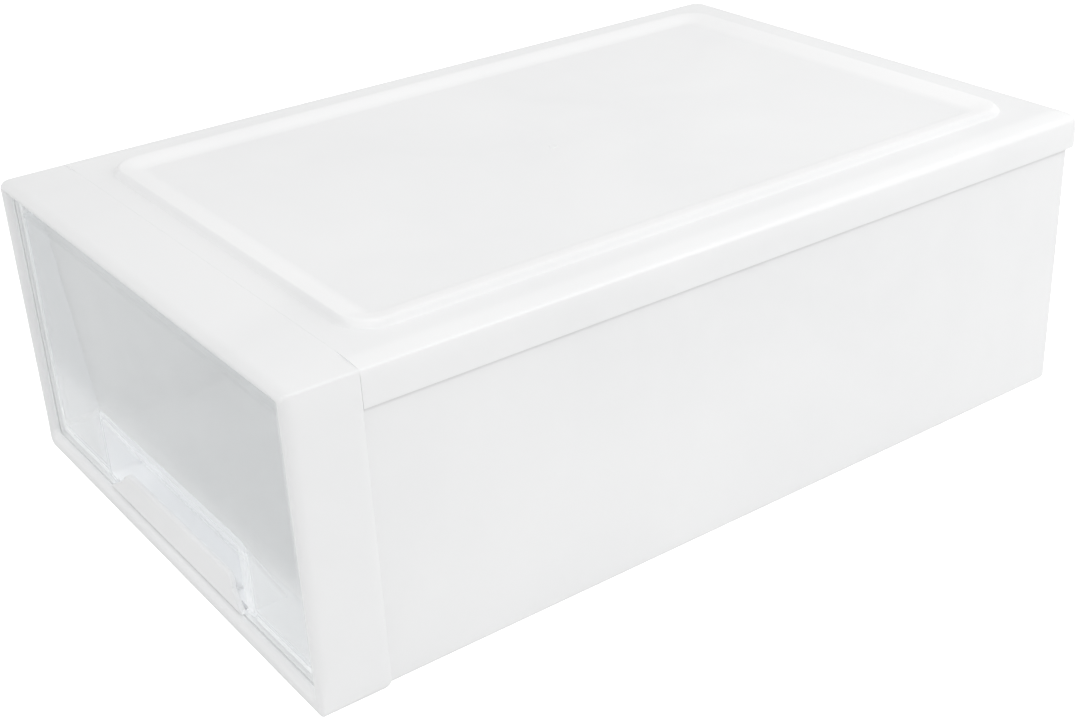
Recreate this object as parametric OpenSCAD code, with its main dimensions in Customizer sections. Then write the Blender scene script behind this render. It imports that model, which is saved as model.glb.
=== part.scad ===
// Stackable drawer box for one pair of shoes.
// A white case (body, cover and front frame) holds a clear drawer that slides out at the front.
// Millimetres. +Z is up, the drawer opens towards -Y, and the origin is the middle of the footprint.

/* [Overall] */
// Width over the front frame and the cover's skirt
box_w = 220; // [190:5:250]
// Depth from the front rim to the back of the cover
box_d = 340; // [300:5:380]
// Height of the top panel, without the stacking bead
box_h = 113; // [100:1:150]

/* [Case] */
// Wall thickness of the white mouldings
wall = 2; // [1.6:0.1:2.4]
// How far the body walls stand in from the frame and the skirt
body_inset = 2.4; // [2.2:0.1:3]
// Depth of the front frame's collar
frame_d = 25.4; // [20:0.2:28]
// Width of the front rim at its sides and top
rim_w = 4.5; // [4.5:0.1:6]
// Height of the front rim below the drawer
sill_h = 6; // [6:0.2:8]
// Height of the cover's skirt
skirt_h = 13.5; // [12:0.5:20]
// Corner radius of the cover seen from above
cover_corner_r = 7; // [5:0.5:12]

/* [Stacking bead] */
// Height of the bead above the top panel
bead_h = 2.2; // [1.6:0.1:2.6]
// Width of the bead at its foot
bead_w = 12.5; // [10:0.5:16]
// Distance from the side and back edges to the bead
bead_edge = 17; // [15:1:24]
// Distance from the front rim to the bead
bead_front = 34; // [34:1:50]

/* [Drawer] */
// How far the drawer slides out before it meets the stops
travel = 250; // [150:10:250]
// Wall thickness of the drawer mouldings
drawer_wall = 1.8; // [1.4:0.1:2.2]
// Gap between the drawer front and the frame opening
front_gap = 0.5; // [0.4:0.1:0.8]
// How far the drawer front stands back from the front rim
front_set = 2.6; // [2:0.1:4]

/* [Pull] */
// Width of the pull along its foot
pull_w = 106; // [80:2:120]
// Height of the pull's upper edge
pull_top = 15.6; // [14:0.2:20]
// How much narrower the pull is at each upper corner
pull_taper = 11; // [6:1:14]
// How far the pull leans back at its upper edge
pull_lean = 2.8; // [1:0.2:4]
// Thickness of the pull
pull_t = 2; // [1.6:0.2:2.4]
// Depth of the finger pocket behind the drawer front
pocket_d = 15; // [13:1:20]
// Height of the top of the finger pocket
pocket_top = 37; // [32:1:46]

/* [Hidden] */
$fn = 96;
eps = 1;                // overshoot of a cut
slip = 0.2;             // gap between pieces that are snapped together

// Case
rim_t = 3.4;            // thickness of the front rim, front to back
rim_corner_r = 1;       // corners of the drawer opening
collar_t = body_inset - slip;
edge_r = 2.5;           // rounding of the long upper edges
plate_t = 2.5;          // thickness of the top panel
skirt_t = 2.2;
foot_h = 4.2;           // height of the foot ribs under the floor
floor_t = 1.6;          // thickness of the floor
body_w = box_w - 2 * body_inset;
body_front = rim_t + 2 * slip;
body_back = box_d - body_inset;
body_top = box_h - plate_t - slip;
body_corner_r = cover_corner_r - body_inset;
floor_top = foot_h + floor_t;
cover_front = frame_d + slip;
open_w = box_w - 2 * rim_w;
open_top = box_h - rim_w;

// Ledge of the frame that carries the cover's front edge
ledge_w = body_w - 24;
ledge_l = 5;
ledge_root_l = 4;

// Stacking bead
bead_turn = 1.5;        // radius of its inner corners at the foot
bead_root = 0.6;        // how far its section reaches into the panel

// Nesting rib: the ring below the floor that drops round the bead of the box underneath
nest_gap = 0.8;
nest_w = box_w - 2 * (bead_edge - nest_gap);
nest_front = bead_front - nest_gap;
nest_back = box_d - bead_edge + nest_gap;

// Finger pocket and pull
front_bottom = sill_h + front_gap;
pocket_w = pull_w + 10;
pocket_back = front_set + pocket_d;
pocket_floor_t = 1.6;
pull_set = front_set - 0.5;
pull_corner_r = 6;
pull_foot_l = 5;
pull_foot_t = 1.2;

// Drawer tray
side_gap = 1;
back_gap = 0.5;
runner_h = 0.8;
tray_w = min(body_w - 2 * wall, open_w) - 2 * side_gap;
tray_inner_w = tray_w - 2 * drawer_wall;
tray_corner_r = max(4, body_corner_r - wall);
tray_front = front_set + drawer_wall + slip;
tray_back = body_back - wall - back_gap;
tray_floor = front_bottom + runner_h;
tray_floor_top = tray_floor + drawer_wall;
tray_top = open_top - 4.5;
tray_rim_h = 3;
tray_rim_t = 3;
notch_w = pocket_w + 2 * drawer_wall + 1;
notch_back = pocket_back + drawer_wall + 0.5;

// Drawer front
front_w = open_w - 2 * front_gap;
front_top = open_top - front_gap;
front_back = front_set + drawer_wall;
flange_l = 4;
flange_top = tray_top - tray_rim_h - slip;
flange_bottom = tray_floor_top + slip;

// Runners under the tray and rails on the case floor
runner_x = 70;
runner_w = 3;
runner_front = notch_back + 4;
runner_back = tray_back - 6;
rail_w = 6;
rail_top = sill_h + slip;
rail_front = body_front + 4;
rail_back = body_back - 8;

// Stops: tabs under the frame's top catch lugs on the tray's rim
stop_w = 3.8;
stop_x = (tray_w - stop_w) / 2;
tab_l = 3.4;
tab_y = frame_d - 2 * tab_l;
tab_bottom = tray_top + 2;
lug_l = 4;
lug_top = tray_top + 3.3;
lug_y = tab_y + tab_l + travel + 0.5;

// Snaps that hold the cover on the body
snap_count = 3;
snap_l = 14;
snap_h = 1.6;
snap_t = 0.8;
snap_z = box_h - 10.5;
snap_pitch = (box_d - frame_d) / snap_count;

// Depths are counted back from the front rim.
module from_front()
    translate([0, -box_d / 2, 0]) children();

// Extrudes an outline drawn in X and Z from depth y0 over length l.
module along_y(y0, l)
    translate([0, y0 + l, 0]) rotate([90, 0, 0]) linear_extrude(l) children();

// Extrudes an outline drawn in Y and Z over width w, centred on X.
module along_x(w)
    rotate([90, 0, 90]) linear_extrude(w, center = true) children();

// Raises a plan outline from z0 to z1.
module raised(z0, z1)
    translate([0, 0, z0]) linear_extrude(z1 - z0) children();

// Block centred on X, from depth y0 to y1 and height z0 to z1.
module block(w, y0, y1, z0, z1)
    translate([-w / 2, y0, z0]) cube([w, y1 - y0, z1 - z0]);

// The same child at +X and mirrored at -X.
module both_sides() {
    children();
    mirror([1, 0, 0]) children();
}

// Rectangle centred on X, from z0 to z1, with round corners.
module round_rect(w, z0, z1, r) {
    translate([-w / 2 + r, z0]) square([w - 2 * r, z1 - z0]);
    translate([-w / 2, z0 + r]) square([w, z1 - z0 - 2 * r]);
    for (x = [-w / 2 + r, w / 2 - r], z = [z0 + r, z1 - r])
        translate([x, z]) circle(r);
}

// Plan outline, square at the front and round at its two back corners.
module plan(w, y0, y1, r) {
    translate([-w / 2, y0]) square([w, y1 - y0 - r]);
    translate([-w / 2 + r, y0]) square([w - 2 * r, y1 - y0]);
    for (x = [-w / 2 + r, w / 2 - r])
        translate([x, y1 - r]) circle(r);
}

// Right half of a disc of radius r.
module half_disc(r)
    intersection() {
        circle(r);
        translate([0, -r]) square([r, 2 * r]);
    }

// The plan outline raised from z0 to z1, with its upper edges rounded at the sides and the back.
module soft_plan(w, y0, y1, corner_r, z0, z1, r) {
    side_l = y1 - y0 - corner_r;
    edge_z = z1 - r;
    raised(z0, edge_z) plan(w, y0, y1, corner_r);
    raised(z0, z1) plan(w - 2 * r, y0, y1 - r, corner_r - r);
    both_sides() {
        translate([w / 2 - r, y1 - corner_r, edge_z]) rotate([90, 0, 0]) cylinder(r = r, h = side_l);
        translate([w / 2 - corner_r, y1 - corner_r, edge_z])
            rotate_extrude(angle = 90) translate([corner_r - r, 0]) half_disc(r);
    }
    translate([corner_r - w / 2, y1 - r, edge_z]) rotate([0, 90, 0]) cylinder(r = r, h = w - 2 * corner_r);
}

// Low arch of a given width and height, from x = 0 to x = w, on a root that reaches below z = 0.
module arch(w, h) {
    r = (w * w / 4 + h * h) / (2 * h);
    intersection() {
        translate([w / 2, h - r]) circle(r);
        square([w, h]);
    }
    translate([0, -bead_root]) square([w, bead_root]);
}

// Quarter turn of the arch, from +X to +Y, whose inner side has radius turn.
module arch_corner(w, h, turn)
    rotate_extrude(angle = 90) translate([turn, 0]) arch(w, h);

// Closed bead. x, y0 and y1 give its outer foot, turn the radius of its inner corners.
module bead_ring(x, y0, y1, w, h, turn) {
    turn_x = x - w - turn;
    turn_y0 = y0 + w + turn;
    turn_y1 = y1 - w - turn;
    both_sides() {
        translate([x - w, turn_y1, 0]) rotate([90, 0, 0]) linear_extrude(turn_y1 - turn_y0) arch(w, h);
        translate([turn_x, turn_y1, 0]) arch_corner(w, h, turn);
        translate([turn_x, turn_y0, 0]) rotate([0, 0, -90]) arch_corner(w, h, turn);
    }
    for (y = [y0, y1 - w])
        translate([-turn_x, y, 0]) rotate([90, 0, 90]) linear_extrude(2 * turn_x) arch(w, h);
}

// One block for each snap, standing t out from the side face at x and larger by grow all round.
module snaps(x, t, grow)
    for (i = [0 : snap_count - 1])
        both_sides()
            translate([x, cover_front + (i + 0.5) * snap_pitch - snap_l / 2 - grow, snap_z - grow])
                cube([t, snap_l + 2 * grow, snap_h + 2 * grow]);

// Floor, side walls and back in one moulding, with foot ribs and rails.
module case_body()
    color("white") from_front() {
        inner_w = body_w - 2 * wall;
        inner_back = body_back - wall;
        inner_corner_r = body_corner_r - wall;
        difference() {
            raised(0, body_top) plan(body_w, body_front, body_back, body_corner_r);
            // inside
            raised(floor_top, body_top + eps) plan(inner_w, body_front - eps, inner_back, inner_corner_r);
            // underside, hollow inside the outer foot rib
            raised(-eps, foot_h) plan(inner_w, cover_front + wall, inner_back, inner_corner_r);
            // step that clears the collar's lower side
            block(box_w, -eps, cover_front, -eps, body_inset);
            block(inner_w, -eps, cover_front, -eps, foot_h);
        }
        difference() {
            block(nest_w + 2 * wall, nest_front - wall, nest_back + wall, 0, foot_h);
            block(nest_w, nest_front, nest_back, -eps, foot_h + eps);
        }
        both_sides() translate([runner_x, 0, 0]) block(rail_w, rail_front, rail_back, floor_top, rail_top);
        snaps(body_w / 2, snap_t, 0);
    }

// Top panel with its skirt and the hollow stacking bead.
module top_cover()
    color("white") from_front() difference() {
        bead_x = box_w / 2 - bead_edge;
        bead_back = box_d - bead_edge;
        union() {
            soft_plan(box_w, cover_front, box_d, cover_corner_r, box_h - skirt_h, box_h, edge_r);
            translate([0, 0, box_h]) bead_ring(bead_x, bead_front, bead_back, bead_w, bead_h, bead_turn);
        }
        raised(box_h - skirt_h - eps, box_h - plate_t)
            plan(box_w - 2 * skirt_t, cover_front - eps, box_d - skirt_t, cover_corner_r - skirt_t);
        translate([0, 0, box_h - plate_t])
            bead_ring(bead_x - wall, bead_front + wall, bead_back - wall,
                      bead_w - 2 * wall, bead_h, bead_turn + wall);
        snaps(box_w / 2 - skirt_t - eps, snap_t + eps, slip);
    }

// Collar round the drawer opening, with its front rim, the ledge under the cover and the stop tabs.
module front_frame()
    color("white") from_front() {
        ledge_bottom = body_top - wall;
        difference() {
            along_y(0, frame_d) round_rect(box_w, 0, box_h, edge_r);
            along_y(-eps, rim_t + 2 * eps) round_rect(open_w, sill_h, open_top, rim_corner_r);
            block(box_w - 2 * collar_t, rim_t, frame_d + eps, collar_t, box_h - plate_t);
        }
        block(ledge_w, frame_d - ledge_root_l, frame_d + ledge_l, ledge_bottom, body_top);
        block(ledge_w, frame_d - ledge_root_l, frame_d, ledge_bottom, box_h - eps);
        both_sides() translate([stop_x, 0, 0]) block(stop_w, tab_y, tab_y + tab_l, tab_bottom, box_h - eps);
    }

// Open tray with a thick rim, runners below and the two stop lugs. Its front is closed by drawer_front.
module drawer_tray()
    color("gainsboro", 0.5) from_front() {
        rim_bottom = tray_top - tray_rim_h;
        difference() {
            raised(tray_floor, tray_top) plan(tray_w, tray_front, tray_back, tray_corner_r);
            raised(tray_floor_top, rim_bottom)
                plan(tray_inner_w, tray_front - eps, tray_back - drawer_wall, tray_corner_r - drawer_wall);
            raised(rim_bottom - eps, tray_top + eps)
                plan(tray_w - 2 * tray_rim_t, tray_front - eps, tray_back - tray_rim_t, rim_corner_r);
            // room for the finger pocket
            block(notch_w, 0, notch_back, 0, tray_floor_top + eps);
        }
        both_sides() {
            translate([runner_x, 0, 0]) block(runner_w, runner_front, runner_back, front_bottom, tray_floor);
            translate([stop_x, 0, 0]) block(stop_w, lug_y, lug_y + lug_l, rim_bottom, lug_top);
        }
    }

// Side outline of the finger pocket, in Y and Z: a wedge that deepens towards its floor.
module pocket_outline(front, back, bottom, top)
    polygon([[front, bottom], [back, bottom], [front, top]]);

// Clear panel with a flange that plugs into the tray, and the finger pocket.
module drawer_front()
    color("aliceblue", 0.4) from_front() difference() {
        flange_w = tray_inner_w - 2 * slip;
        union() {
            along_y(front_set, drawer_wall) round_rect(front_w, front_bottom, front_top, rim_corner_r);
            difference() {
                block(flange_w, front_back - slip, tray_front + flange_l, flange_bottom, flange_top);
                block(flange_w - 2 * drawer_wall, front_set, tray_front + flange_l + eps,
                      flange_bottom + drawer_wall, flange_top - drawer_wall);
            }
            along_x(pocket_w + 2 * drawer_wall)
                pocket_outline(front_set, pocket_back + drawer_wall, front_bottom,
                               pocket_top + 2 * drawer_wall);
        }
        along_x(pocket_w)
            pocket_outline(front_set - 0.01, pocket_back, front_bottom + pocket_floor_t, pocket_top);
        // seat of the pull
        block(pull_w + 2 * slip, 0, pull_set + pull_t + 2 * slip + 1, 0, front_bottom + pocket_floor_t + eps);
    }

// Points on an arc of radius r about x and z, from angle a0 to a1.
function arc(x, z, r, a0, a1) = [for (a = [a0 : 10 : a1]) [x + r * cos(a), z + r * sin(a)]];

// Front outline of the pull: a low trapezoid with round upper corners.
module pull_outline(h) {
    corner_x = pull_w / 2 - pull_taper - pull_corner_r / 2;
    corner_z = h - pull_corner_r;
    polygon(concat(
        [[-pull_w / 2, 0], [pull_w / 2, 0]],
        arc(corner_x, corner_z, pull_corner_r, 20, 90),
        arc(-corner_x, corner_z, pull_corner_r, 90, 160)));
}

// Leans its child back by pull_lean over height h.
module lean_back(h)
    multmatrix([[1, 0, 0, 0], [0, 1, pull_lean / h, 0], [0, 0, 1, 0]]) children();

// Upright lip that leans back a little, on a foot that lies on the pocket's floor.
module drawer_pull()
    color("white") from_front() {
        lip_h = pull_top - front_bottom;
        foot_w = pull_w - 2 * pull_taper;
        foot_front = pull_set + pull_t;
        foot_z = front_bottom + pocket_floor_t;
        translate([0, pull_set, front_bottom]) lean_back(lip_h) along_y(0, pull_t) pull_outline(lip_h);
        block(foot_w, foot_front, foot_front + pull_foot_l, foot_z, foot_z + pull_foot_t);
    }

case_body();
top_cover();
front_frame();
drawer_tray();
drawer_front();
drawer_pull();
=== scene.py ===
"""Looks of a stackable drawer box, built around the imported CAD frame.

Metres, +Z up, the drawer opens towards -Y. Every piece takes its place from the frame.
"""
import math

import bmesh
import bpy
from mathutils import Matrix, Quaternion, Vector


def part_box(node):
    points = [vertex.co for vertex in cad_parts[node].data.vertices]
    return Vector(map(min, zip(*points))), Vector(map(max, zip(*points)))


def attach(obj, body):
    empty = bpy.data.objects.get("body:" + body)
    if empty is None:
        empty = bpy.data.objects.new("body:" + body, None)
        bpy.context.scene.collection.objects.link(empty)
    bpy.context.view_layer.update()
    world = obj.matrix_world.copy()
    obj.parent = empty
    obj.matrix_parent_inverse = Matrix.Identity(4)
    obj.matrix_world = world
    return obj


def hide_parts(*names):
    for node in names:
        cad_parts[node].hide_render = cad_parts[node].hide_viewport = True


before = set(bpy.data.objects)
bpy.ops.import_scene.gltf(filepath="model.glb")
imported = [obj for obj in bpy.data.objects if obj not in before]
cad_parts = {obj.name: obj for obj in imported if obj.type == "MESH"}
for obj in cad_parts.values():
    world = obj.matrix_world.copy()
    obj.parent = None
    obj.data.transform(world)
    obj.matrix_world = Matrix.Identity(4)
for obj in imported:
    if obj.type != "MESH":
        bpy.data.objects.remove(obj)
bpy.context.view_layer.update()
MM = 0.001

# ---------------------------------------------------------------- sizes from the frame

body_lo, body_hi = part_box("case_body")
cover_lo, cover_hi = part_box("top_cover")
collar_lo, collar_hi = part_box("front_frame")
tray_lo, tray_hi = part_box("drawer_tray")
panel_lo, panel_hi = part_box("drawer_front")
pull_lo, pull_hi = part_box("drawer_pull")

FRONT = collar_lo.y
TOP = collar_hi.z
WALL = 2 * MM             # case walls
SLIP = 0.2 * MM           # gap between pieces that are snapped together
SNAP = 0.8 * MM           # how far the snaps stand out of the side walls
SEAM = 0.01 * MM          # gap between the frame and the cover on top
RIM_W = 4.5 * MM
RIM_T = 3.4 * MM
SILL = 6 * MM             # height of the rim below the drawer
FOOT = 4.2 * MM           # height of the foot ribs
COLLAR_BACK = cover_lo.y - SLIP
BODY_HALF = body_hi.x - SNAP
COLLAR = 2.2 * MM         # thickness of the frame's collar, which goes round the case
SNAP_COUNT = 3            # snaps on each side
FAR = 200 * MM            # beyond every side of the box, for cuts
BELOW = -10 * MM          # under the table, for cuts
RUNNER_X = 70 * MM        # middle of the rails and of the runners on them
TRAVEL = 250 * MM         # how far the drawer slides out
STOP_X = 100.7 * MM       # inner side of the stop tabs and lugs
TAB_Y = FRONT + 18.6 * MM
TAB_L = 3.4 * MM

BEAD_OUT = 17 * MM        # from the outer foot of the bead to the sides and the back
BEAD_FRONT = 34 * MM
BEAD_W = 12.5 * MM
BEAD_BACK_W = 15 * MM
BEAD_OUT_R = 14 * MM
BEAD_IN_R = 2.5 * MM
NEST_GAP = 0.8 * MM       # how much wider the nesting rib is than the bead that it drops round

PLATE = 2.5 * MM          # thickness of the cover's panel
SAG = 0.35 * MM           # how far the panel sinks in its middle
CROWN = 0.8 * MM          # how far the panel's side edges hang below its middle
SHOULDER = 10 * MM        # width of the sloping band along each side edge
ROLL = 0.35 * MM          # how far the skirt leans in at its upper edge
ROLL_H = 4 * MM           # height of the part that leans in
EDGE_TILT = math.radians(10)
FRONT_R = 0.9 * MM        # radius of the upper edge at the front of the cover and on the frame
BACK_R = 3.4 * MM         # the same at the back

DRAWER_WALL = 1.8 * MM
FLANGE_HALF = 102.5 * MM  # outside of the flange behind the clear panel
FLANGE_LO = 9.3 * MM
FLANGE_HI = 100.8 * MM
POCKET_HALF = 58 * MM     # inside of the finger pocket
POCKET_LO = 8.1 * MM
POCKET_HI = 37 * MM
POCKET_D = 15 * MM


# ---------------------------------------------------------------- mesh tools

TURN = 8                # spans of a round corner
ACROSS = 16             # spans along a side in X
ALONG = 28              # spans along a side in Y or Z
OPEN_COUNT = 4 * (TURN + 1) + 2 * (ALONG - 1) + ACROSS - 1


def lerp(a, b, t):
    return a + (b - a) * t


def smooth(t):
    """Eases from 0 to 1 with level ends."""
    t = min(max(t, 0), 1)
    return t * t * (3 - 2 * t)


def round_rect(u0, u1, v0, v1, radii):
    """Outline of a rectangle with round corners. It starts at the lower left and goes up the left side.
    radii are those of the lower left, upper left, upper right and lower right corners."""
    r0, r1, r2, r3 = radii
    corners = [
        (u0 + r0, v0 + r0, r0, 270, ALONG),
        (u0 + r1, v1 - r1, r1, 180, ACROSS),
        (u1 - r2, v1 - r2, r2, 90, ALONG),
        (u1 - r3, v0 + r3, r3, 0, ACROSS),
    ]
    arcs = []
    for u, v, r, start, _ in corners:
        turns = [math.radians(start - 90 * k / TURN) for k in range(TURN + 1)]
        arcs.append([Vector((u + r * math.cos(a), v + r * math.sin(a))) for a in turns])
    points = []
    for i, arc in enumerate(arcs):
        points += arc
        goal = arcs[(i + 1) % 4][0]
        spans = corners[i][4]
        points += [lerp(arc[-1], goal, k / spans) for k in range(1, spans)]
    return points


def plan(half, y0, y1, z, front_r=0.0, back_r=0.0):
    """Level ring, symmetric in X."""
    outline = round_rect(-half, half, y0, y1, (front_r, back_r, back_r, front_r))
    return [Vector((u, v, z)) for u, v in outline]


def core(z, r):
    """Small level ring in the middle of a floor, which closes it."""
    half, front, back = 60 * MM, -100 * MM, 110 * MM
    return plan(half, front, back, z, r, r)


def even_turns(spans):
    """Angles from 0 to a quarter turn."""
    return [math.pi / 2 * k / spans for k in range(spans + 1)]


def round_foot(r, turns):
    """Inset and height of each step round the turn from an upright wall to the floor."""
    return [(r * (1 - math.cos(a)), r * (1 - math.sin(a))) for a in turns]


def edge_steps(y0, y1, edge):
    """Inset and y of the rings that round both edges of an upright plate, from its front to its back."""
    steps = []
    for y, way, angles in ((y0 + edge, -1, (90, 60, 30, 0)), (y1 - edge, 1, (0, 30, 60, 90))):
        for a in angles:
            turn = math.radians(a)
            steps.append((edge * (1 - math.cos(turn)), y + way * edge * math.sin(turn)))
    return steps


def section(half, y, z0, z1, r):
    """Upright ring that faces the front."""
    return [Vector((u, y, v)) for u, v in round_rect(-half, half, z0, z1, (r, r, r, r))]


def blend_rings(a, b, t):
    return [lerp(p, q, t) for p, q in zip(a, b)]


def blend_rings_by(a, b, measure):
    """Goes from ring a to ring b where measure(point) goes from 0 to 1."""
    return [lerp(p, q, smooth(measure(p))) for p, q in zip(a, b)]


def bridge(bm, a, b, closed=True):
    spans = len(a) if closed else OPEN_COUNT - 1
    for i in range(spans):
        j = (i + 1) % len(a)
        bm.faces.new((a[i], a[j], b[j], b[i]))


def add_rings(bm, rings):
    return [[bm.verts.new(p) for p in ring] for ring in rings]


def weld(bm):
    bmesh.ops.remove_doubles(bm, verts=bm.verts, dist=1e-6)
    bmesh.ops.dissolve_degenerate(bm, dist=1e-7, edges=bm.edges)
    bmesh.ops.recalc_face_normals(bm, faces=bm.faces)


def ring_solid(rings):
    """Closed tube whose rings go round and meet the first one again."""
    bm = bmesh.new()
    loops = add_rings(bm, rings)
    for i, loop in enumerate(loops):
        bridge(bm, loop, loops[(i + 1) % len(loops)])
    weld(bm)
    return bm


def capped_solid(rings):
    """Solid whose first and last rings are closed by a face."""
    bm = bmesh.new()
    loops = add_rings(bm, rings)
    for a, b in zip(loops, loops[1:]):
        bridge(bm, a, b)
    bm.faces.new(loops[0])
    bm.faces.new(loops[-1])
    weld(bm)
    return bm


def open_front_shell(outer, outer_open, inner, inner_open):
    """Moulding that is open at the front, between two surfaces. Each is a list of rings from the rim to the
    middle, and its first rings, as many as outer_open or inner_open says, have no front side."""
    bm = bmesh.new()
    outer, inner = add_rings(bm, outer), add_rings(bm, inner)
    edge = []
    for loops, opened in ((outer, outer_open), (inner, inner_open)):
        for k, (a, b) in enumerate(zip(loops, loops[1:])):
            bridge(bm, a, b, closed=k >= opened)
        bm.faces.new(loops[-1])
        left = [loop[0] for loop in loops[:opened + 1]]
        right = [loop[OPEN_COUNT - 1] for loop in loops[:opened + 1]]
        edge.append(left + loops[opened][OPEN_COUNT:][::-1] + right[::-1])
    bridge(bm, outer[0], inner[0], closed=False)
    bm.faces.new(edge[0] + edge[1][::-1])
    weld(bm)
    return bm


def block(lo, hi):
    """Closed box between two corners, used to cut and to add small moulded features."""
    bm = bmesh.new()
    bmesh.ops.create_cube(bm, size=1)
    lo, hi = Vector(lo), Vector(hi)
    for v in bm.verts:
        v.co = Vector(lerp(lo[i], hi[i], v.co[i] + 0.5) for i in range(3))
    return bm


def soft_block(lo, hi, r):
    """Box with round edges."""
    bm = block(lo, hi)
    bmesh.ops.bevel(bm, geom=bm.edges[:], offset=r, segments=3, profile=0.5, affect="EDGES")
    return bm


def as_object(name, bm):
    mesh = bpy.data.meshes.new(name)
    bm.to_mesh(mesh)
    bm.free()
    obj = bpy.data.objects.new(name, mesh)
    bpy.context.scene.collection.objects.link(obj)
    return obj


def combine(obj, bm, operation):
    """Joins a closed solid to obj, or cuts it away."""
    tool = as_object("tool", bm)
    step = obj.modifiers.new("combine", "BOOLEAN")
    step.operation = operation
    step.solver = "EXACT"
    step.object = tool
    bake_modifiers(obj)
    bpy.data.objects.remove(tool)


def bake_modifiers(obj):
    graph = bpy.context.evaluated_depsgraph_get()
    mesh = bpy.data.meshes.new_from_object(obj.evaluated_get(graph))
    obj.modifiers.clear()
    obj.data = mesh


def add_pair(obj, x0, x1, y0, y1, z0, z1, r):
    """Joins to obj a soft block from x0 to x1 on the +X side, and its mirror image."""
    for side in (1, -1):
        low, high = sorted((side * x0, side * x1))
        combine(obj, soft_block((low, y0, z0), (high, y1, z1), r), "UNION")


def finish_piece(obj, material, body, node, edge=0.3 * MM):
    """Rounds the sharp edges, sets the finish, and ties the piece to the frame."""
    mesh = obj.data
    mesh.materials.clear()
    mesh.materials.append(material)
    for polygon in mesh.polygons:
        polygon.use_smooth = True
    mesh.set_sharp_from_angle(angle=math.radians(35))
    if edge:
        bevel = obj.modifiers.new("soft_edges", "BEVEL")
        bevel.width = edge
        bevel.segments = 3
        bevel.limit_method = "ANGLE"
        bevel.angle_limit = math.radians(40)
        bevel.use_clamp_overlap = True
    even = obj.modifiers.new("even_normals", "WEIGHTED_NORMAL")
    even.keep_sharp = True
    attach(obj, body)
    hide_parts(node)


# ---------------------------------------------------------------- materials

class Nodes:
    """Short way to build the node tree of a material or of the world."""

    def __init__(self, owner, kind="Material", place="Object"):
        self.owner = owner
        owner.use_nodes = True
        self.tree = owner.node_tree
        self.tree.nodes.clear()
        self.out = self.add("ShaderNodeOutput" + kind)
        self.place = self.add("ShaderNodeTexCoord").outputs[place]

    def add(self, kind, inputs=None, **settings):
        node = self.tree.nodes.new(kind)
        for key, value in settings.items():
            setattr(node, key, value)
        for key, value in (inputs or {}).items():
            socket = node.inputs[key]
            if isinstance(value, bpy.types.NodeSocket):
                self.tree.links.new(value, socket)
            else:
                socket.default_value = value
        return node

    def noise(self, scale, detail=3.0, stretch=None, distortion=0.0):
        """Soft noise from 0 to 1. scale is in features per metre."""
        place = self.place
        if stretch:
            place = self.add("ShaderNodeMapping", {"Vector": place, "Scale": stretch}).outputs[0]
        node = self.add("ShaderNodeTexNoise", {
            "Vector": place, "Scale": scale, "Detail": detail, "Distortion": distortion})
        return node.outputs["Fac"]

    def ramp(self, value, low, high, out_low=0.0, out_high=1.0):
        """Maps low..high of value to out_low..out_high, and stops at the ends."""
        return self.add("ShaderNodeMapRange", {
            "Value": value, "From Min": low, "From Max": high,
            "To Min": out_low, "To Max": out_high}).outputs[0]

    def math(self, operation, a, b):
        return self.add("ShaderNodeMath", {0: a, 1: b}, operation=operation).outputs[0]

    def mix_colour(self, factor, a, b):
        node = self.add("ShaderNodeMix", data_type="RGBA")
        for index, value in ((0, factor), (6, a), (7, b)):
            if isinstance(value, bpy.types.NodeSocket):
                self.tree.links.new(value, node.inputs[index])
            else:
                node.inputs[index].default_value = value
        return node.outputs[2]

    def bump(self, height, distance, strength=1.0, normal=None):
        inputs = {"Height": height, "Distance": distance, "Strength": strength}
        if normal:
            inputs["Normal"] = normal
        return self.add("ShaderNodeBump", inputs).outputs[0]

    def finish(self, shader):
        self.tree.links.new(shader, self.out.inputs["Surface"])
        return self.owner


def scuffs(n, amount):
    """Faint straight rubs along and across, from 0 to amount."""
    along = n.ramp(n.noise(1.0, 2.0, stretch=(900, 35, 900)), 0.66, 0.74)
    across = n.ramp(n.noise(1.0, 2.0, stretch=(28, 800, 800)), 0.68, 0.76)
    patch = n.ramp(n.noise(14, 2.0), 0.5, 0.7)
    lines = n.math("MAXIMUM", along, across)
    return n.math("MULTIPLY", n.math("MULTIPLY", lines, patch), amount)


def specks(n, cell, share):
    """A few dust specks: 1 on a speck, 0 elsewhere."""
    cells = n.add("ShaderNodeTexVoronoi", {"Vector": n.place, "Scale": 1 / cell})
    near = n.ramp(cells.outputs["Distance"], 0.03, 0.05, 1.0, 0.0)
    chosen = n.add("ShaderNodeSeparateColor", {"Color": cells.outputs["Color"]}).outputs[0]
    gate = n.ramp(chosen, 1 - share, 1 - share + 0.001)
    return n.math("MULTIPLY", near, gate)


def painted_skirt_shadow(n):
    """Painted shadow of the cover's skirt: 1 in the narrow band of the walls right under it, 0 elsewhere."""
    _, y, z = n.add("ShaderNodeSeparateXYZ", {0: n.place}).outputs
    shaded, fading = 1.5 * MM, 0.9 * MM
    near = n.ramp(z, cover_lo.z - shaded - fading, cover_lo.z - shaded)
    below = n.ramp(z, cover_lo.z - 0.1 * MM, cover_lo.z, 1, 0)
    wall = n.ramp(y, cover_lo.y, cover_lo.y + 0.2 * MM)
    return n.math("MULTIPLY", n.math("MULTIPLY", near, below), wall)


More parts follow.
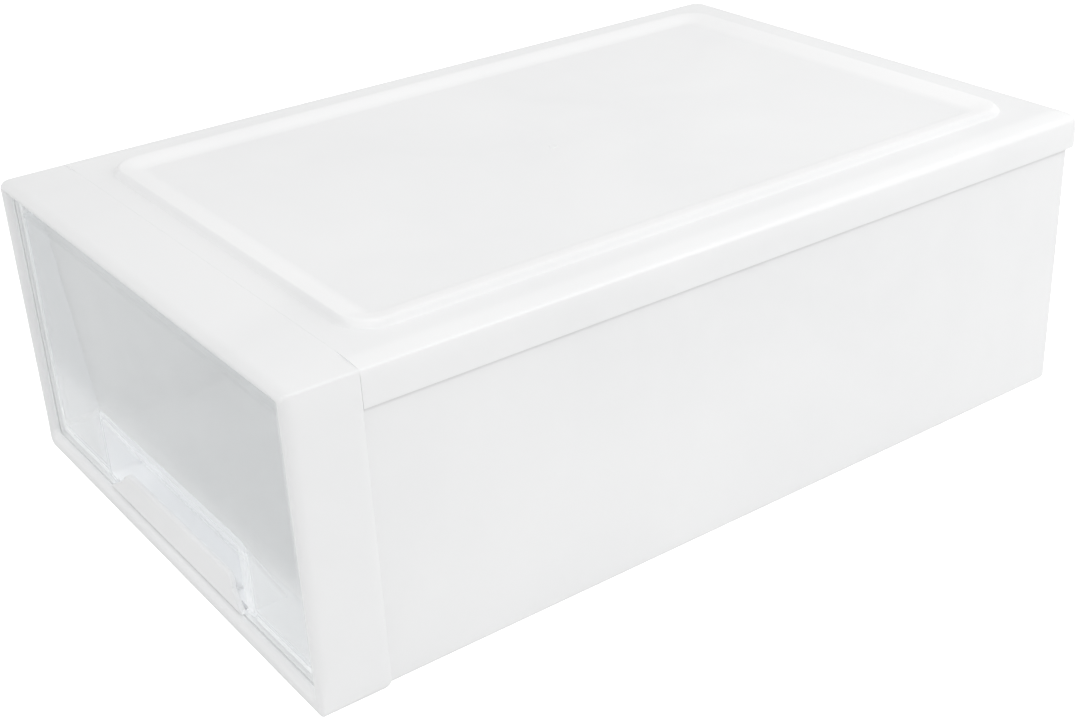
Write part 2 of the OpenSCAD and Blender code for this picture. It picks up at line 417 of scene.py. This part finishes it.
def white_plastic(name):
    """Moulded white plastic with a satin surface. mark_cover says where the cover has painted highlight
    or painted shade.
    """
    n = Nodes(bpy.data.materials.new(name))
    cloud = n.noise(13, 3.0, distortion=0.6)
    mottle = n.noise(90, 3.0)
    light = (0.920, 0.923, 0.925, 1)
    shade = (0.888, 0.892, 0.896, 1)
    colour = n.mix_colour(n.ramp(cloud, 0.3, 0.7), shade, light)
    colour = n.mix_colour(n.ramp(mottle, 0.35, 0.75, 0.0, 0.25), colour, light)
    # painted highlight: the bead's inside and the sloping side edges are painted lighter and glow faintly
    painted_highlight = n.add("ShaderNodeAttribute", attribute_name="painted_highlight").outputs["Fac"]
    painted_shade_and_matt = n.add("ShaderNodeAttribute", attribute_name="painted_shade_and_matt").outputs["Fac"]
    colour = n.mix_colour(n.math("MULTIPLY", painted_highlight, 0.6), colour, (0.975, 0.975, 0.975, 1))
    # painted shade on the bead's outer slope, which is also made rougher below
    colour = n.mix_colour(n.math("MULTIPLY", painted_shade_and_matt, 0.15), colour, (0.78, 0.785, 0.79, 1))
    # painted shadow: a thin darker band on the walls right under the skirt's overhang
    colour = n.mix_colour(n.math("MULTIPLY", painted_skirt_shadow(n), 0.5), colour, (0.60, 0.60, 0.60, 1))
    colour = n.mix_colour(scuffs(n, 0.10), colour, (0.93, 0.93, 0.93, 1))
    colour = n.mix_colour(n.math("MULTIPLY", specks(n, 16 * MM, 0.03), 0.5), colour, (0.35, 0.34, 0.32, 1))
    rough = n.ramp(n.noise(40, 4.0), 0.3, 0.7, 0.30, 0.40)
    rough = n.math("ADD", n.math("ADD", rough, scuffs(n, 0.15)), n.math("MULTIPLY", painted_shade_and_matt, 0.4))
    satin = n.bump(n.noise(2600, 2.0), 0.02 * MM, 0.6)
    peel = n.bump(n.noise(150, 2.0), 0.05 * MM, 0.35, normal=satin)
    wave = n.bump(n.noise(16, 1.0), 0.5 * MM, 0.25, normal=peel)
    # the painted highlight also glows faintly through the emission
    shader = n.add("ShaderNodeBsdfPrincipled", {
        "Base Color": colour, "Roughness": rough, "Normal": wave, "IOR": 1.49,
        "Emission Color": (1, 1, 1, 1), "Emission Strength": n.math("MULTIPLY", painted_highlight, 0.025)})
    return n.finish(shader.outputs[0])


def frosted_plastic(name):
    """Milky tray plastic. A weak glow inside stands in for the light that soaks through the closed box."""
    n = Nodes(bpy.data.materials.new(name))
    cloud = n.ramp(n.noise(20, 3.0), 0.3, 0.7)
    colour = n.mix_colour(cloud, (0.955, 0.96, 0.962, 1), (0.975, 0.978, 0.98, 1))
    colour = n.mix_colour(scuffs(n, 0.5), colour, (0.87, 0.87, 0.88, 1))
    rough = n.ramp(n.noise(60, 3.0), 0.3, 0.7, 0.28, 0.40)
    grain = n.bump(n.noise(1800, 2.0), 0.03 * MM, 0.7)
    alpha = n.ramp(n.noise(24, 2.0), 0.3, 0.7, 0.92, 0.97)
    x = n.add("ShaderNodeSeparateXYZ", {0: n.place}).outputs[0]
    glow = n.ramp(n.math("ABSOLUTE", x, 0.0), tray_hi.x - 1.2 * MM, tray_hi.x - 0.6 * MM, 0.055, 0.0)
    shader = n.add("ShaderNodeBsdfPrincipled", {
        "Base Color": colour, "Roughness": rough, "Normal": grain, "Alpha": alpha, "IOR": 1.49,
        "Emission Color": (1, 1, 1, 1), "Emission Strength": glow})
    return n.finish(shader.outputs[0])


def clear_plastic(name):
    """Clear plastic with a little haze, rubs, and gloss that grows towards grazing angles. It is milky behind
    the plate, apart from the flange's top. Along the plate's sides and foot, a faint milky band that glows is
    painted light, standing in for the lit strips of the walls and floor behind the plate. A weak glow in the
    milk stands in for the light inside the closed box."""
    n = Nodes(bpy.data.materials.new(name))
    x, y, z = n.add("ShaderNodeSeparateXYZ", {0: n.place}).outputs
    side = n.math("ABSOLUTE", x, 0.0)
    flange_side = FLANGE_HALF - DRAWER_WALL
    flange_top = FLANGE_HI - DRAWER_WALL
    panel_back = panel_lo.y + DRAWER_WALL
    milky = 0.85
    faint = 0.2      # from a quarter up, the render's noise filter draws a line where the haze starts
    # the last of these glows is painted light, for the lit strips along the plate's sides and foot
    pocket_glow, panel_glow, lit_strip_glow = 0.115, 0.068, 0.9
    behind = n.ramp(y, panel_back + 0.1 * MM, panel_back + 0.8 * MM, 0, milky)
    clear_top = n.math("MULTIPLY", n.ramp(z, flange_top - 0.6 * MM, flange_top - 0.1 * MM),
                       n.ramp(side, flange_side + 0.1 * MM, flange_side - 0.5 * MM))
    behind = n.math("SUBTRACT", behind, clear_top)
    # painted light: the flange's sides turn faintly milky and glowing, as the lit strip of the side wall
    painted_side_light = n.ramp(side, flange_side - 0.9 * MM, flange_side - 0.3 * MM, 0, faint)
    # painted light: a faintly milky, glowing band low on the plate, as the lit strip of floor behind it
    low = n.ramp(z, 54 * MM, 34 * MM, 0, faint)
    painted_lit_strips = n.math("MAXIMUM", painted_side_light, low)
    haze_and_painted_light = n.ramp(n.noise(30, 3.0), 0.3, 0.7, 0.04, 0.08)
    haze_and_painted_light = n.math("MAXIMUM", n.math("MAXIMUM", haze_and_painted_light, behind), painted_lit_strips)
    haze_and_painted_light = n.math("ADD", haze_and_painted_light, scuffs(n, 0.07))
    beyond_pocket = n.math("MAXIMUM", n.ramp(side, POCKET_HALF - MM, POCKET_HALF + MM),
                           n.ramp(z, POCKET_HI - MM, POCKET_HI + 2 * MM))
    glow = n.ramp(beyond_pocket, 0, 1, pocket_glow, panel_glow)
    # the painted lit strips glow as well
    glow = n.math("ADD", n.math("MULTIPLY", painted_lit_strips, n.ramp(behind, 0, 0.4, lit_strip_glow, 0)), glow)
    peel = n.bump(n.noise(60, 2.0), 0.06 * MM, 0.3)
    through = n.add("ShaderNodeBsdfTransparent", {"Color": (0.994, 0.998, 0.998, 1)})
    milk = n.add("ShaderNodeBsdfPrincipled", {
        "Base Color": (0.90, 0.91, 0.92, 1), "Roughness": 0.3, "Normal": peel,
        "Emission Color": (1, 1, 1, 1), "Emission Strength": glow})
    body = n.add("ShaderNodeMixShader", {0: haze_and_painted_light, 1: through.outputs[0], 2: milk.outputs[0]})
    gloss = n.add("ShaderNodeBsdfGlossy", {"Color": (1, 1, 1, 1), "Roughness": 0.06, "Normal": peel})
    facing = n.add("ShaderNodeLayerWeight", {"Blend": 0.5, "Normal": peel}).outputs["Facing"]
    mirror = n.ramp(n.math("POWER", facing, 5.0), 0, 1, 0.02, 0.5)
    shader = n.add("ShaderNodeMixShader", {0: mirror, 1: body.outputs[0], 2: gloss.outputs[0]})
    return n.finish(shader.outputs[0])


def floor_surface(name, glow):
    """Plain matt white. With glow, it looks white whatever light falls on it."""
    n = Nodes(bpy.data.materials.new(name))
    tone = n.ramp(n.noise(3, 2.0), 0.3, 0.7, 0.80, 0.83)
    colour = n.add("ShaderNodeCombineColor", {0: tone, 1: tone, 2: tone}).outputs[0]
    shader = n.add("ShaderNodeBsdfPrincipled", {
        "Base Color": colour, "Roughness": 0.9, "Emission Color": (1, 1, 1, 1), "Emission Strength": glow})
    return n.finish(shader.outputs[0])


# ---------------------------------------------------------------- camera, light and floor

def direction(azimuth, elevation):
    """Unit vector towards a place in degrees, azimuth going round from the front to the right side."""
    a, e = math.radians(azimuth), math.radians(elevation)
    return Vector((math.sin(a) * math.cos(e), -math.cos(a) * math.cos(e), math.sin(e)))


def make_camera():
    """Camera at the viewing angle, by azimuth and elevation round an aim point, with a small roll."""
    aim = Vector((8.1, -12.5, 29.9)) * MM
    distance = 655.8 * MM
    back = direction(55.37, 27.43)
    roll = math.radians(-2.96)
    data = bpy.data.cameras.new("camera")
    data.lens = 56.43
    data.sensor_width = 36
    camera = bpy.data.objects.new("camera", data)
    camera.rotation_mode = "QUATERNION"
    camera.location = aim + back * distance
    camera.rotation_quaternion = Quaternion(back, roll) @ (-back).to_track_quat("-Z", "Y")
    bpy.context.scene.collection.objects.link(camera)
    bpy.context.scene.camera = camera


GLOW_ABOVE = 0.50
GLOW_FRONT = 0.58
GLOW_BACK = 0.50
GLOW_RIGHT = 0.14
FLOOR_SIZE = 30


def soft_light(name, azimuth, elevation, distance, size, power):
    """Square softbox that looks at the middle of the box."""
    back = direction(azimuth, elevation)
    data = bpy.data.lights.new(name, "AREA")
    data.size = size
    data.energy = power
    light = bpy.data.objects.new(name, data)
    light.location = Vector((0, 0, TOP / 2)) + back * distance
    light.rotation_mode = "QUATERNION"
    light.rotation_quaternion = (-back).to_track_quat("-Z", "Y")
    bpy.context.scene.collection.objects.link(light)


def studio_world():
    """White light from all round above the table, a little stronger in front and on the right."""
    n = Nodes(bpy.data.worlds.new("studio"), "World", "Generated")
    x, y, z = n.add("ShaderNodeSeparateXYZ", {0: n.place}).outputs
    above = n.math("ADD", n.ramp(z, 0, 0.02, 0, GLOW_ABOVE), n.ramp(x, 0, 1, 0, GLOW_RIGHT))
    round_about = n.math("ADD", n.ramp(y, 0, -1, 0, GLOW_FRONT), n.ramp(y, 0, 1, 0, GLOW_BACK))
    strength = n.math("ADD", above, round_about)
    shader = n.add("ShaderNodeBackground", {"Color": (1, 1, 1, 1), "Strength": strength})
    return n.finish(shader.outputs[0])


def make_studio():
    """Soft light, a white floor that only the camera sees, and a pale table that it does not see."""
    scene = bpy.context.scene
    scene.world = studio_world()
    scene.view_settings.view_transform = "Standard"
    scene.cycles.max_bounces = 16
    scene.cycles.diffuse_bounces = 14
    scene.cycles.transparent_max_bounces = 24
    soft_light("back_right", 128, 32, 1.1, 0.7, 2.5)
    soft_light("overhead", 20, 76, 1.6, 0.6, 3.0)
    floor = as_object("floor", plain_floor(0))
    floor.data.materials.append(floor_surface("floor_white", 0.96))
    floor.visible_diffuse = False
    floor.visible_glossy = False
    floor.visible_transmission = False
    floor.visible_shadow = False
    table = as_object("table", plain_floor(-0.2 * MM))
    table.data.materials.append(floor_surface("table_white", 0.0))
    table.visible_camera = False


def plain_floor(z):
    bm = bmesh.new()
    bmesh.ops.create_grid(bm, x_segments=8, y_segments=8, size=FLOOR_SIZE)
    bmesh.ops.translate(bm, verts=bm.verts, vec=(0, 0, z))
    return bm


# ---------------------------------------------------------------- case body

def case_body():
    """Side walls, back and floor, with the foot rib and the nesting rib underneath."""
    half, back, top = BODY_HALF, body_hi.y, body_hi.z
    front = body_lo.y
    corner = 2.8 * MM
    rib_front = cover_lo.y + WALL
    nest = [(collar_hi.x - BEAD_OUT + w, FRONT + BEAD_FRONT - w, cover_hi.y - BEAD_OUT + w)
            for w in (NEST_GAP, NEST_GAP + WALL)]
    floor_top = FOOT + 1.6 * MM
    foot_r = 1.5 * MM

    def wall(inset, z):
        return plan(half - inset, front, back - inset, z, back_r=max(corner - inset, 1 * MM))

    foot = round_foot(foot_r, (0, 0.5, 1.05, math.pi / 2))
    outer = [wall(0, top)]
    outer += [wall(inset, z) for inset, z in foot]
    under_r = 1.2 * MM
    outer += [plan(half - WALL, rib_front, back - WALL, z, 0.5 * MM, MM) for z in (0, FOOT)]
    outer += [plan(x, y0, y1, z, under_r, under_r) for (x, y0, y1), z in (
        (nest[1], FOOT), (nest[1], 0), (nest[0], 0), (nest[0], FOOT))]
    outer.append(core(FOOT, under_r))
    inner = [wall(WALL, top)]
    inner += [wall(WALL + inset, floor_top + rise) for inset, rise in round_foot(1.6 * MM, even_turns(4))]
    inner_open = len(inner) - 1
    inner.append(core(floor_top, under_r))
    obj = as_object("case_body_shell", open_front_shell(outer, len(foot), inner, inner_open))
    combine(obj, block((-FAR, -FAR, BELOW), (FAR, cover_lo.y, COLLAR + SLIP)), "DIFFERENCE")
    combine(obj, block((-half + WALL, -FAR, BELOW), (half - WALL, cover_lo.y, FOOT)), "DIFFERENCE")
    add_pair(obj, RUNNER_X - 3 * MM, RUNNER_X + 3 * MM, front + 4 * MM, back - 8 * MM,
             floor_top - 0.5 * MM, SILL + SLIP, 0.15 * MM)
    snap_z, snap_h, snap_l = TOP - 10.5 * MM, 1.6 * MM, 14 * MM
    pitch = (cover_hi.y - COLLAR_BACK) / SNAP_COUNT
    for i in range(SNAP_COUNT):
        middle = cover_lo.y + (i + 0.5) * pitch
        add_pair(obj, half - MM, body_hi.x, middle - snap_l / 2, middle + snap_l / 2,
                 snap_z, snap_z + snap_h, 0.3 * MM)
    return obj


# ---------------------------------------------------------------- top cover

def bead_shape(s):
    """Height of the bead, 0 to 1, across its width from its outer foot: steep outside, gentle inside."""
    steep, gentle, straight = 0.18, 0.72, 0.8
    rise = min(s / steep, 1)
    fall = smooth(min((1 - s) / gentle, 1))
    return math.sin(math.pi / 2 * rise) ** 1.6 * lerp(min((1 - s) / straight, 1), fall, 0.5)


def bead_rings(level, margin, height, spans):
    """Rings across the bead. margin is how far its feet stand in from the outer surface's feet."""
    back = cover_hi.y - BEAD_OUT
    front = FRONT + BEAD_FRONT
    half = collar_hi.x - BEAD_OUT
    outside = plan(half - margin, front + margin, back - margin, level,
                   BEAD_OUT_R - margin, BEAD_OUT_R - margin)
    inside = plan(half - BEAD_W + margin, front + BEAD_W - margin, back - BEAD_BACK_W + margin, level,
                  BEAD_IN_R + margin, BEAD_IN_R + margin)
    rings = []
    for k in range(spans + 1):
        s = k / spans
        lift = Vector((0, 0, height * bead_shape(s)))
        rings.append([p + lift for p in blend_rings(outside, inside, s)])
    return rings


def panel_rings(level, sag, spans):
    """Rings inside the bead that sink by sag towards the middle."""
    half = collar_hi.x - BEAD_OUT - BEAD_W
    y0, y1 = FRONT + BEAD_FRONT + BEAD_W, cover_hi.y - BEAD_OUT - BEAD_BACK_W
    middle = (y0 + y1) / 2
    rings = []
    for k in range(1, spans + 1):
        t = 0.94 * k / spans
        z = level - sag * math.sin(math.pi / 2 * t) ** 2
        rings.append(plan(half * (1 - t), lerp(y0, middle, t), lerp(y1, middle, t), z,
                          BEAD_IN_R * (1 - t), BEAD_IN_R * (1 - t)))
    return rings


def mark_cover(mesh):
    """Stores for the material a painted highlight on the bead's inside and the sloping edges, and painted
    shade with a rougher finish on the bead's outside. The highlight is painted strongest at the back and
    right."""
    painted_highlight = mesh.attributes.new("painted_highlight", "FLOAT", "POINT")
    painted_shade_and_matt = mesh.attributes.new("painted_shade_and_matt", "FLOAT", "POINT")
    for v, highlight_item, shade_and_matt_item in zip(mesh.vertices, painted_highlight.data, painted_shade_and_matt.data):
        x, y, z = v.co
        from_front = y - FRONT - BEAD_FRONT
        across = min((collar_hi.x - BEAD_OUT - abs(x)) / BEAD_W, from_front / BEAD_W,
                     (cover_hi.y - BEAD_OUT - y) / BEAD_BACK_W)
        lifted = min(max((z - TOP) / (0.8 * MM), 0), 1)
        inside = smooth((across - 0.12) / 0.1)
        # painted highlight, stronger towards the right and the back, where the light falls
        share = lerp(0.45, 1, smooth((x + 80 * MM) / (160 * MM)))
        share *= lerp(0.5, 1, smooth((from_front - 6 * MM) / (14 * MM)))
        # painted highlight along the sloping shoulders of the side edges
        edge = smooth((abs(x) - collar_hi.x + SHOULDER) / (4 * MM))
        edge *= smooth((z - TOP + 3 * MM) / (2 * MM))
        highlight_item.value = max(1.2 * share * lifted * inside, 0.4 * edge)
        # painted shade, with a rougher finish, on the bead's outer slope
        shade_and_matt_item.value = lifted * (1 - inside)


def gate_mark():
    """Small low button with a dimple that moulding leaves in the middle of the panel."""
    middle = Vector((3 * MM, 2 * MM, TOP - SAG))
    turns = [math.radians(15 * k) for k in range(24)]
    rings = []
    for r, lift in ((1.7, -1), (1.7, 0.02), (1.5, 0.16), (1.2, 0.22), (0.9, 0.12), (0.5, 0.08)):
        rings.append([middle + Vector((r * math.cos(a), r * math.sin(a), lift)) * MM for a in turns])
    return capped_solid(rings)


def top_cover():
    """Panel, skirt and stacking bead. The upper edge is tighter at the front than at the back."""
    half, back, front = cover_hi.x, cover_hi.y, COLLAR_BACK + SEAM
    skirt = 2.2 * MM
    bottom = cover_lo.z
    under = TOP - PLATE
    corner = 4.5 * MM
    brow_in = 5 * MM
    wall = plan(half, front, back, 0, back_r=corner)
    brow = plan(half - brow_in, front, back - brow_in, 0, back_r=2 * MM)
    shoulder = plan(half - SHOULDER, front, back - SHOULDER, 0, back_r=1.5 * MM)

    def far(p):
        return (p.y - front) / (back - front)

    def edge_r(p):
        return lerp(FRONT_R, BACK_R, smooth(far(p) * 1.2))

    def leaning(t):
        """Ring on the upper part of the skirt, which leans in towards the edge."""
        ring = []
        for p, q in zip(wall, brow):
            at = lerp(p, q, ROLL * t * t / brow_in)
            at.z = TOP - CROWN - edge_r(p) - ROLL_H * (1 - t)
            ring.append(at)
        return ring

    def turned(angle):
        """Ring on the round upper edge, at an angle up from the skirt."""
        ring = []
        for p, q in zip(wall, brow):
            r = edge_r(p)
            at = lerp(p, q, (ROLL + r * (math.cos(EDGE_TILT) - math.cos(angle))) / brow_in)
            at.z = TOP - CROWN - r * (1 - math.sin(angle))
            ring.append(at)
        return ring

    def rolled(t):
        """Ring on the gentle slope between the round edge and the level panel."""
        ring = []
        for p, q in zip(turned(math.pi / 2 - EDGE_TILT), shoulder):
            at = lerp(p, q, t)
            at.z = lerp(p.z, TOP, 1 - (1 - t) ** 2)
            ring.append(at)
        return ring

    def skirt_ring(depth, z):
        return plan(half - depth, front, back - depth, z, back_r=corner - depth)

    outer = [skirt_ring(0.2 * MM, bottom), skirt_ring(0.06 * MM, bottom + 0.06 * MM)]
    outer.append(skirt_ring(0, bottom + 0.2 * MM))
    outer += [leaning(k / 4) for k in range(4)]
    outer += [turned(lerp(EDGE_TILT, math.pi / 2 - EDGE_TILT, k / 8)) for k in range(9)]
    outer += [rolled(k / 6) for k in range(1, 7)]
    outer_open = len(outer) - 1
    outer += bead_rings(TOP, 0, cover_hi.z - TOP, 26)
    outer += panel_rings(TOP, SAG, 6)

    inner = [skirt_ring(skirt, bottom), skirt_ring(skirt, under - 1 * MM)]
    inner += [skirt_ring(skirt + 0.3 * MM, under - 0.3 * MM), skirt_ring(skirt + 1 * MM, under)]
    inner.append(plan(half - SHOULDER, front, back - SHOULDER, under, back_r=2 * MM))
    inner_open = len(inner) - 1
    inner += bead_rings(under, WALL, cover_hi.z - TOP, 14)
    inner += panel_rings(under, SAG, 4)
    obj = as_object("top_cover_shell", open_front_shell(outer, outer_open, inner, inner_open))
    combine(obj, gate_mark(), "UNION")
    mark_cover(obj.data)
    return obj


# ---------------------------------------------------------------- front frame

def crowned(ring):
    """Gives a ring's upper corners the same slopes as the cover's side edges."""
    for p in ring:
        out = min(max(0, abs(p.x) - collar_hi.x + SHOULDER) / (SHOULDER - ROLL - FRONT_R), 1)
        up = min(max((p.z - TOP + FRONT_R + ROLL_H) / ROLL_H, 0), 1)
        p.z -= CROWN * out ** 2 * smooth((p.z - TOP + 14 * MM) / (12 * MM))
        p.x -= math.copysign(ROLL * up ** 2, p.x) * smooth((abs(p.x) - collar_hi.x + 4 * MM) / (3 * MM))
    return ring


def front_frame():
    """Collar and front rim in one ring, with the ledge under the cover and the stop tabs."""
    half, top, back = collar_hi.x, TOP, COLLAR_BACK
    low_r, opening_r = 2.5 * MM, 1.2 * MM

    def ring(t, depth, r):
        """t goes from 0 at the outside to 1 at the drawer opening."""
        upper = min(r, lerp(FRONT_R, 2 * MM, t))
        corners = (low_r, upper, upper, low_r)
        outline = round_rect(t * RIM_W - half, half - t * RIM_W, SILL * t, top - RIM_W * t, corners)
        return [Vector((u, FRONT + depth, v)) for u, v in outline]

    def inside(depth):
        return section(half - COLLAR, FRONT + depth, COLLAR, top - PLATE, 0.8 * MM)

    depth = back - FRONT
    nose_w, nose_d, low_nose = 2.2 * MM, 4.0 * MM, 1.0 * MM
    rear_w, rear_d = 0.8 * MM, 2.8 * MM

    def rear(turn):
        """Soft rear edge on the sides below the skirt, tighter next to the skirt and on top."""
        rings = []
        for w, d in ((rear_w, rear_d), (0.25 * MM, 0.8 * MM), (0.05 * MM, 0.05 * MM)):
            rings.append(ring(w * (1 - math.sin(turn)) / RIM_W, depth - d * (1 - math.cos(turn)), low_r))
        soft, tight, sharp = rings
        low = blend_rings_by(soft, tight, lambda p: (p.z - cover_lo.z + 3 * MM) / (4 * MM))
        return blend_rings_by(low, sharp, lambda p: (p.z - top + 4 * MM) / (4 * MM))

    rings = [crowned(rear(math.radians(a))) for a in (0, 22, 45, 68, 90)]
    for a in range(0, 91, 15):
        turn = math.radians(a)
        t = nose_w * (1 - math.cos(turn)) / RIM_W
        low, high = (ring(t, d * (1 - math.sin(turn)), low_r) for d in (low_nose, nose_d))
        rings.append(crowned(blend_rings_by(low, high, lambda p: p.z / (10 * MM) - 0.5)))
    rings.append(ring(0.62, 0, 1.6 * MM))
    # the rim's face rounds back towards the opening
    for t, d in ((0.72, 0.12), (0.84, 0.5), (0.94, 1.1), (1, 1.9)):
        rings.append(ring(t, d * MM, opening_r))
    rings.append(ring(1, RIM_T - 0.3 * MM, opening_r))
    rings.append(ring(0.93, RIM_T, opening_r))
    rings.append(inside(RIM_T))
    rings.append(inside(depth - 0.3 * MM))
    rings.append(ring(1.9 * MM / RIM_W, depth, 2.0 * MM))
    obj = as_object("front_frame_collar", ring_solid(rings))
    ledge, ledge_top = 95.6 * MM, body_hi.z
    ledge_front, ledge_bottom = back - 4 * MM, ledge_top - WALL
    shelf = soft_block((-ledge, ledge_front, ledge_bottom), (ledge, back + 5 * MM, ledge_top), 0.4 * MM)
    root = block((-ledge, ledge_front, ledge_bottom + 0.5 * MM), (ledge, back - 0.4 * MM, top - MM))
    combine(obj, shelf, "UNION")
    combine(obj, root, "UNION")
    tab_bottom = 106 * MM
    add_pair(obj, STOP_X, tray_hi.x, TAB_Y, TAB_Y + TAB_L, tab_bottom, top - MM, 0.4 * MM)
    return obj


# ---------------------------------------------------------------- drawer

def drawer_tray():
    """Tray with a thick rim, open at the front, with runners below and the two stop lugs."""
    half, front, back = tray_hi.x, tray_lo.y, tray_hi.y
    rim_top, rim = 104 * MM, 3 * MM
    bottom = tray_lo.z + 0.8 * MM
    floor_top = bottom + DRAWER_WALL
    corner, outer_turn, inner_turn = 4 * MM, 2.4 * MM, 10 * MM

    def wall(inset, z):
        return plan(half - inset, front, back - inset, z, back_r=max(corner - inset, 1 * MM))

    outer = [wall(0.5 * MM, rim_top), wall(0.12 * MM, rim_top - 0.15 * MM), wall(0, rim_top - 0.6 * MM)]
    outer += [wall(inset, bottom + rise) for inset, rise in round_foot(outer_turn, even_turns(5))]
    outer_open = len(outer) - 1
    outer.append(core(bottom, 1 * MM))
    inner = [wall(rim - 0.5 * MM, rim_top), wall(rim, rim_top - 0.6 * MM), wall(rim, rim_top - 2.6 * MM)]
    inner += [wall(rim - 0.3 * MM, rim_top - rim), wall(DRAWER_WALL, rim_top - rim - 0.5 * MM)]
    for inset, rise in round_foot(inner_turn, even_turns(5)):
        inner.append(wall(DRAWER_WALL + inset, floor_top + rise))
    inner_open = len(inner) - 1
    inner.append(core(floor_top, 1 * MM))
    obj = as_object("drawer_tray_shell", open_front_shell(outer, outer_open, inner, inner_open))
    notch_half = POCKET_HALF + 2.3 * MM
    notch_back = FRONT + 19.9 * MM
    combine(obj, block((-notch_half, -FAR, 0), (notch_half, notch_back, 20 * MM)), "DIFFERENCE")
    add_pair(obj, RUNNER_X - 1.5 * MM, RUNNER_X + 1.5 * MM, notch_back + 4 * MM, back - 6 * MM,
             tray_lo.z, bottom + 0.5 * MM, 0.3 * MM)
    lug_y, lug_l = TAB_Y + TAB_L + TRAVEL + 0.5 * MM, 4 * MM
    add_pair(obj, STOP_X, half, lug_y, lug_y + lug_l, rim_top - rim, tray_hi.z, 0.4 * MM)
    return obj


def plate_rings(half, y0, y1, z0, z1, r, edge):
    """Rings of an upright plate with round edges, from its front to its back."""
    steps = edge_steps(y0, y1, edge)
    return [section(half - inset, y, z0 + inset, z1 - inset, r) for inset, y in steps]


def scoop_rings(grow, y_start, y_end):
    """Rings of the finger pocket's wedge, larger by grow all round."""
    y0, y1 = panel_lo.y, panel_lo.y + POCKET_D + grow
    z0, z1 = POCKET_LO - grow * 0.9, POCKET_HI + 2 * grow
    half = POCKET_HALF + grow
    spans = 12
    rings = []
    for k in range(spans + 1):
        y = lerp(y_start, y_end, k / spans)
        top = lerp(z1, z0, max(0, (y - y0) / (y1 - y0)))
        top = max(top, z0 + 1.2 * MM)
        rings.append(section(half, y, z0, top, min(2.2 * MM + grow, (top - z0) * 0.45)))
    return rings


def drawer_front():
    """Clear plate that nearly fills the frame, with a flange behind it and the finger pocket."""
    half, y0 = panel_hi.x + 0.35 * MM, panel_lo.y
    y1 = y0 + DRAWER_WALL
    obj = as_object("drawer_front_panel", capped_solid(
        plate_rings(half, y0, y1, panel_lo.z - 0.3 * MM, panel_hi.z, 1.2 * MM, 0.4 * MM)))
    start, reach, slant = y0 + 1 * MM, FRONT + 11 * MM, 8.2 * MM
    pocket_end = FRONT + 17.2 * MM

    def flange_ring(y, depth, r):
        """Section of the flange, depth in from its outside."""
        return section(FLANGE_HALF - depth, y, FLANGE_LO + depth, FLANGE_HI - depth, r)

    def slanted(ring):
        """The flange reaches further back at the bottom than at the top."""
        return [p + Vector((0, slant * (FLANGE_HI - p.z) / (FLANGE_HI - FLANGE_LO), 0)) for p in ring]

    outside = flange_ring(start, 0, 2 * MM)
    outside_back = slanted(flange_ring(reach, 0, 2 * MM))
    inside_back = slanted(flange_ring(reach, DRAWER_WALL, 1 * MM))
    inside = flange_ring(start, DRAWER_WALL, 1 * MM)
    combine(obj, ring_solid([outside, outside_back, inside_back, inside]), "UNION")
    pocket_outside = scoop_rings(DRAWER_WALL, y0 + 0.6 * MM, pocket_end + DRAWER_WALL)
    combine(obj, capped_solid(pocket_outside), "UNION")
    combine(obj, capped_solid(scoop_rings(0, y0 - 1 * MM, pocket_end)), "DIFFERENCE")
    seat = pull_hi.x + 0.2 * MM
    combine(obj, block((-seat, -FAR, 0), (seat, FRONT + 5.5 * MM, POCKET_LO + 0.1 * MM)), "DIFFERENCE")
    return obj


def pull_outline(inset):
    """Front outline of the lip, from its lower left corner round to the lower right one."""
    foot, top = pull_hi.x - inset, pull_hi.z - inset
    bottom = pull_lo.z + inset
    r = 6 * MM - inset
    corner = 39 * MM
    arc = []
    for k in range(11):
        a = math.radians(90 - 7 * k)
        arc.append((corner + r * math.cos(a), top - r + r * math.sin(a)))
    right = arc + [(foot, bottom)]
    left = [(-x, z) for x, z in right]
    return left[::-1] + right


def drawer_pull():
    """Upright lip that leans back a little, on a foot that lies on the pocket's floor."""
    bottom, top = pull_lo.z, pull_hi.z
    y0 = FRONT + 2.1 * MM
    thick, lean = 2 * MM, 2.8 * MM
    edge = 0.6 * MM

    def ring(inset, y):
        return [Vector((x, y + lean * (z - bottom) / (top - bottom), z)) for x, z in pull_outline(inset)]

    rings = [ring(inset, y) for inset, y in edge_steps(y0, y0 + thick, edge)]
    obj = as_object("drawer_pull_lip", capped_solid(rings))
    foot_half, foot_t = 42 * MM, 1.2 * MM
    foot = soft_block((-foot_half, y0 + 1.6 * MM, POCKET_LO),
                      (foot_half, pull_hi.y, POCKET_LO + foot_t), 0.3 * MM)
    combine(obj, foot, "UNION")
    return obj


# ---------------------------------------------------------------- assembly

make_camera()
make_studio()

white = white_plastic("white_plastic")
frosted = frosted_plastic("frosted_plastic")
clear = clear_plastic("clear_plastic")

finish_piece(case_body(), white, "case", "case_body")
finish_piece(top_cover(), white, "case", "top_cover", edge=0)
finish_piece(front_frame(), white, "case", "front_frame", edge=0)
finish_piece(drawer_tray(), frosted, "drawer", "drawer_tray", edge=0.2 * MM)
finish_piece(drawer_front(), clear, "drawer", "drawer_front", edge=0)
finish_piece(drawer_pull(), white, "drawer", "drawer_pull", edge=0)
